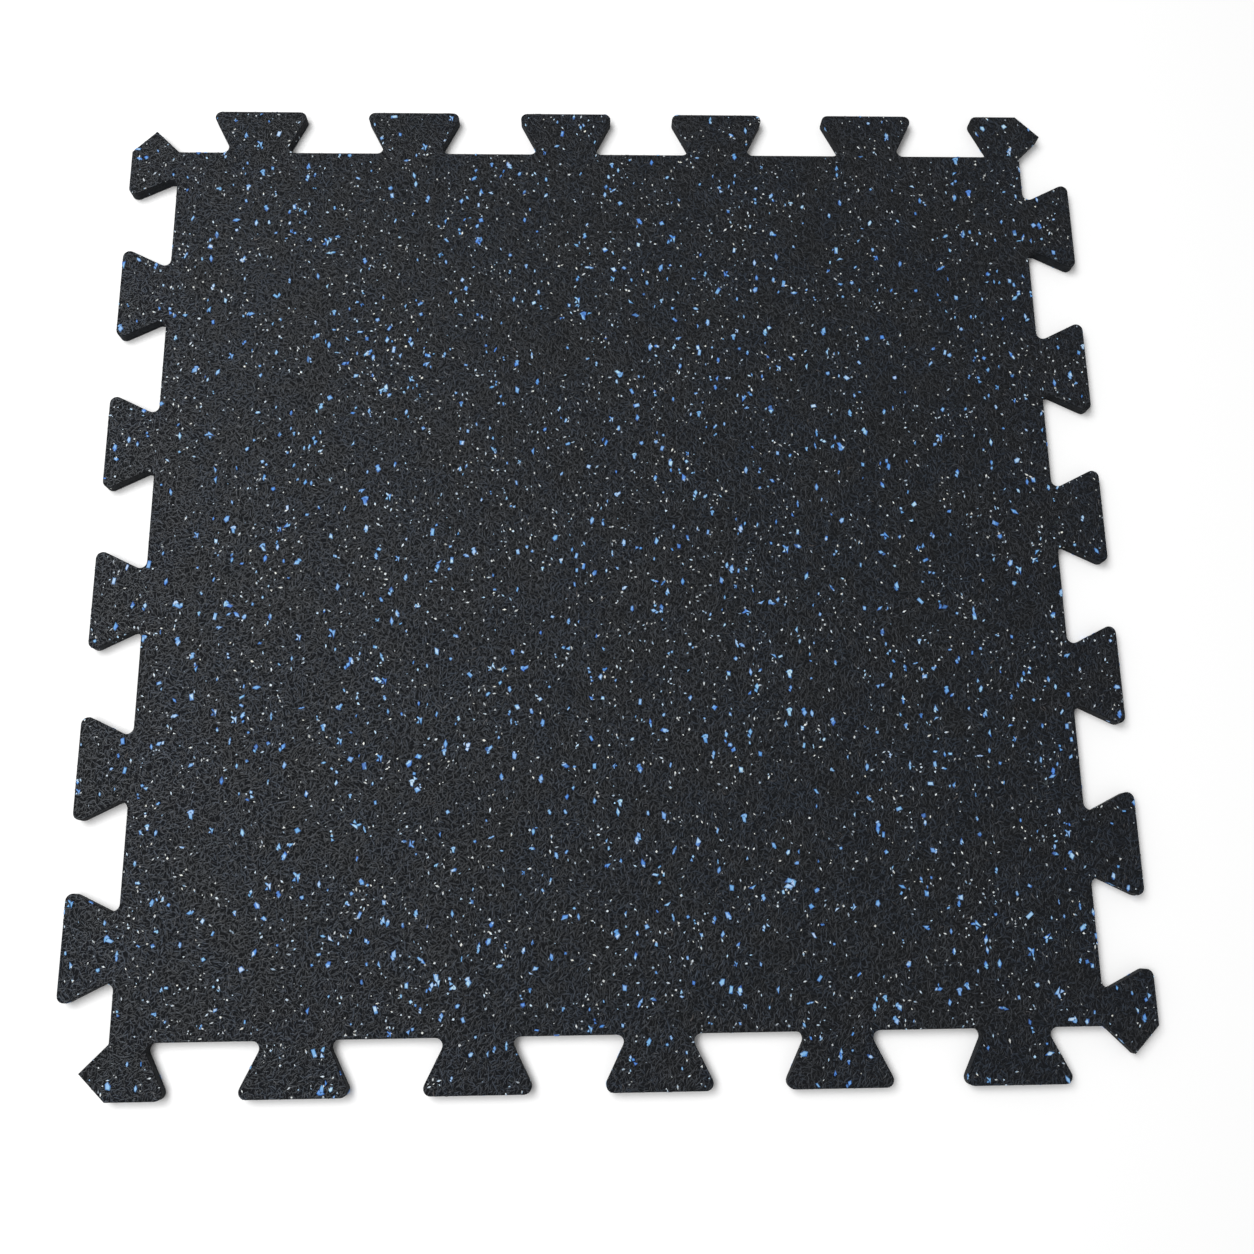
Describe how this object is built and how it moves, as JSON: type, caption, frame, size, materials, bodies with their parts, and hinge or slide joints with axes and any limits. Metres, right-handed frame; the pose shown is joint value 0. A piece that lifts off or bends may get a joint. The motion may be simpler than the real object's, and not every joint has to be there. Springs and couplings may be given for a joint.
{
  "type": "interlocking gym floor tile",
  "caption": "Square black rubber crumb floor tile with blue and pale granules and dovetail puzzle tabs on all sides, laid flat and locked into like tiles.",
  "frame": {"origin": "centre of the tile's underside, at the middle of its bounding box", "axes": "+Z out of the top face, +X and +Y along the sides; each side's corner tab is at its clockwise end seen from above"},
  "size_m": [0.6414, 0.6414, 0.008],
  "materials": {
    "floor_tile": "matte black bonded crumb with blue and pale grey granules"
  },
  "bodies": {
    "root": {"floor_tile": "floor_tile"}
  },
  "joints": []
}
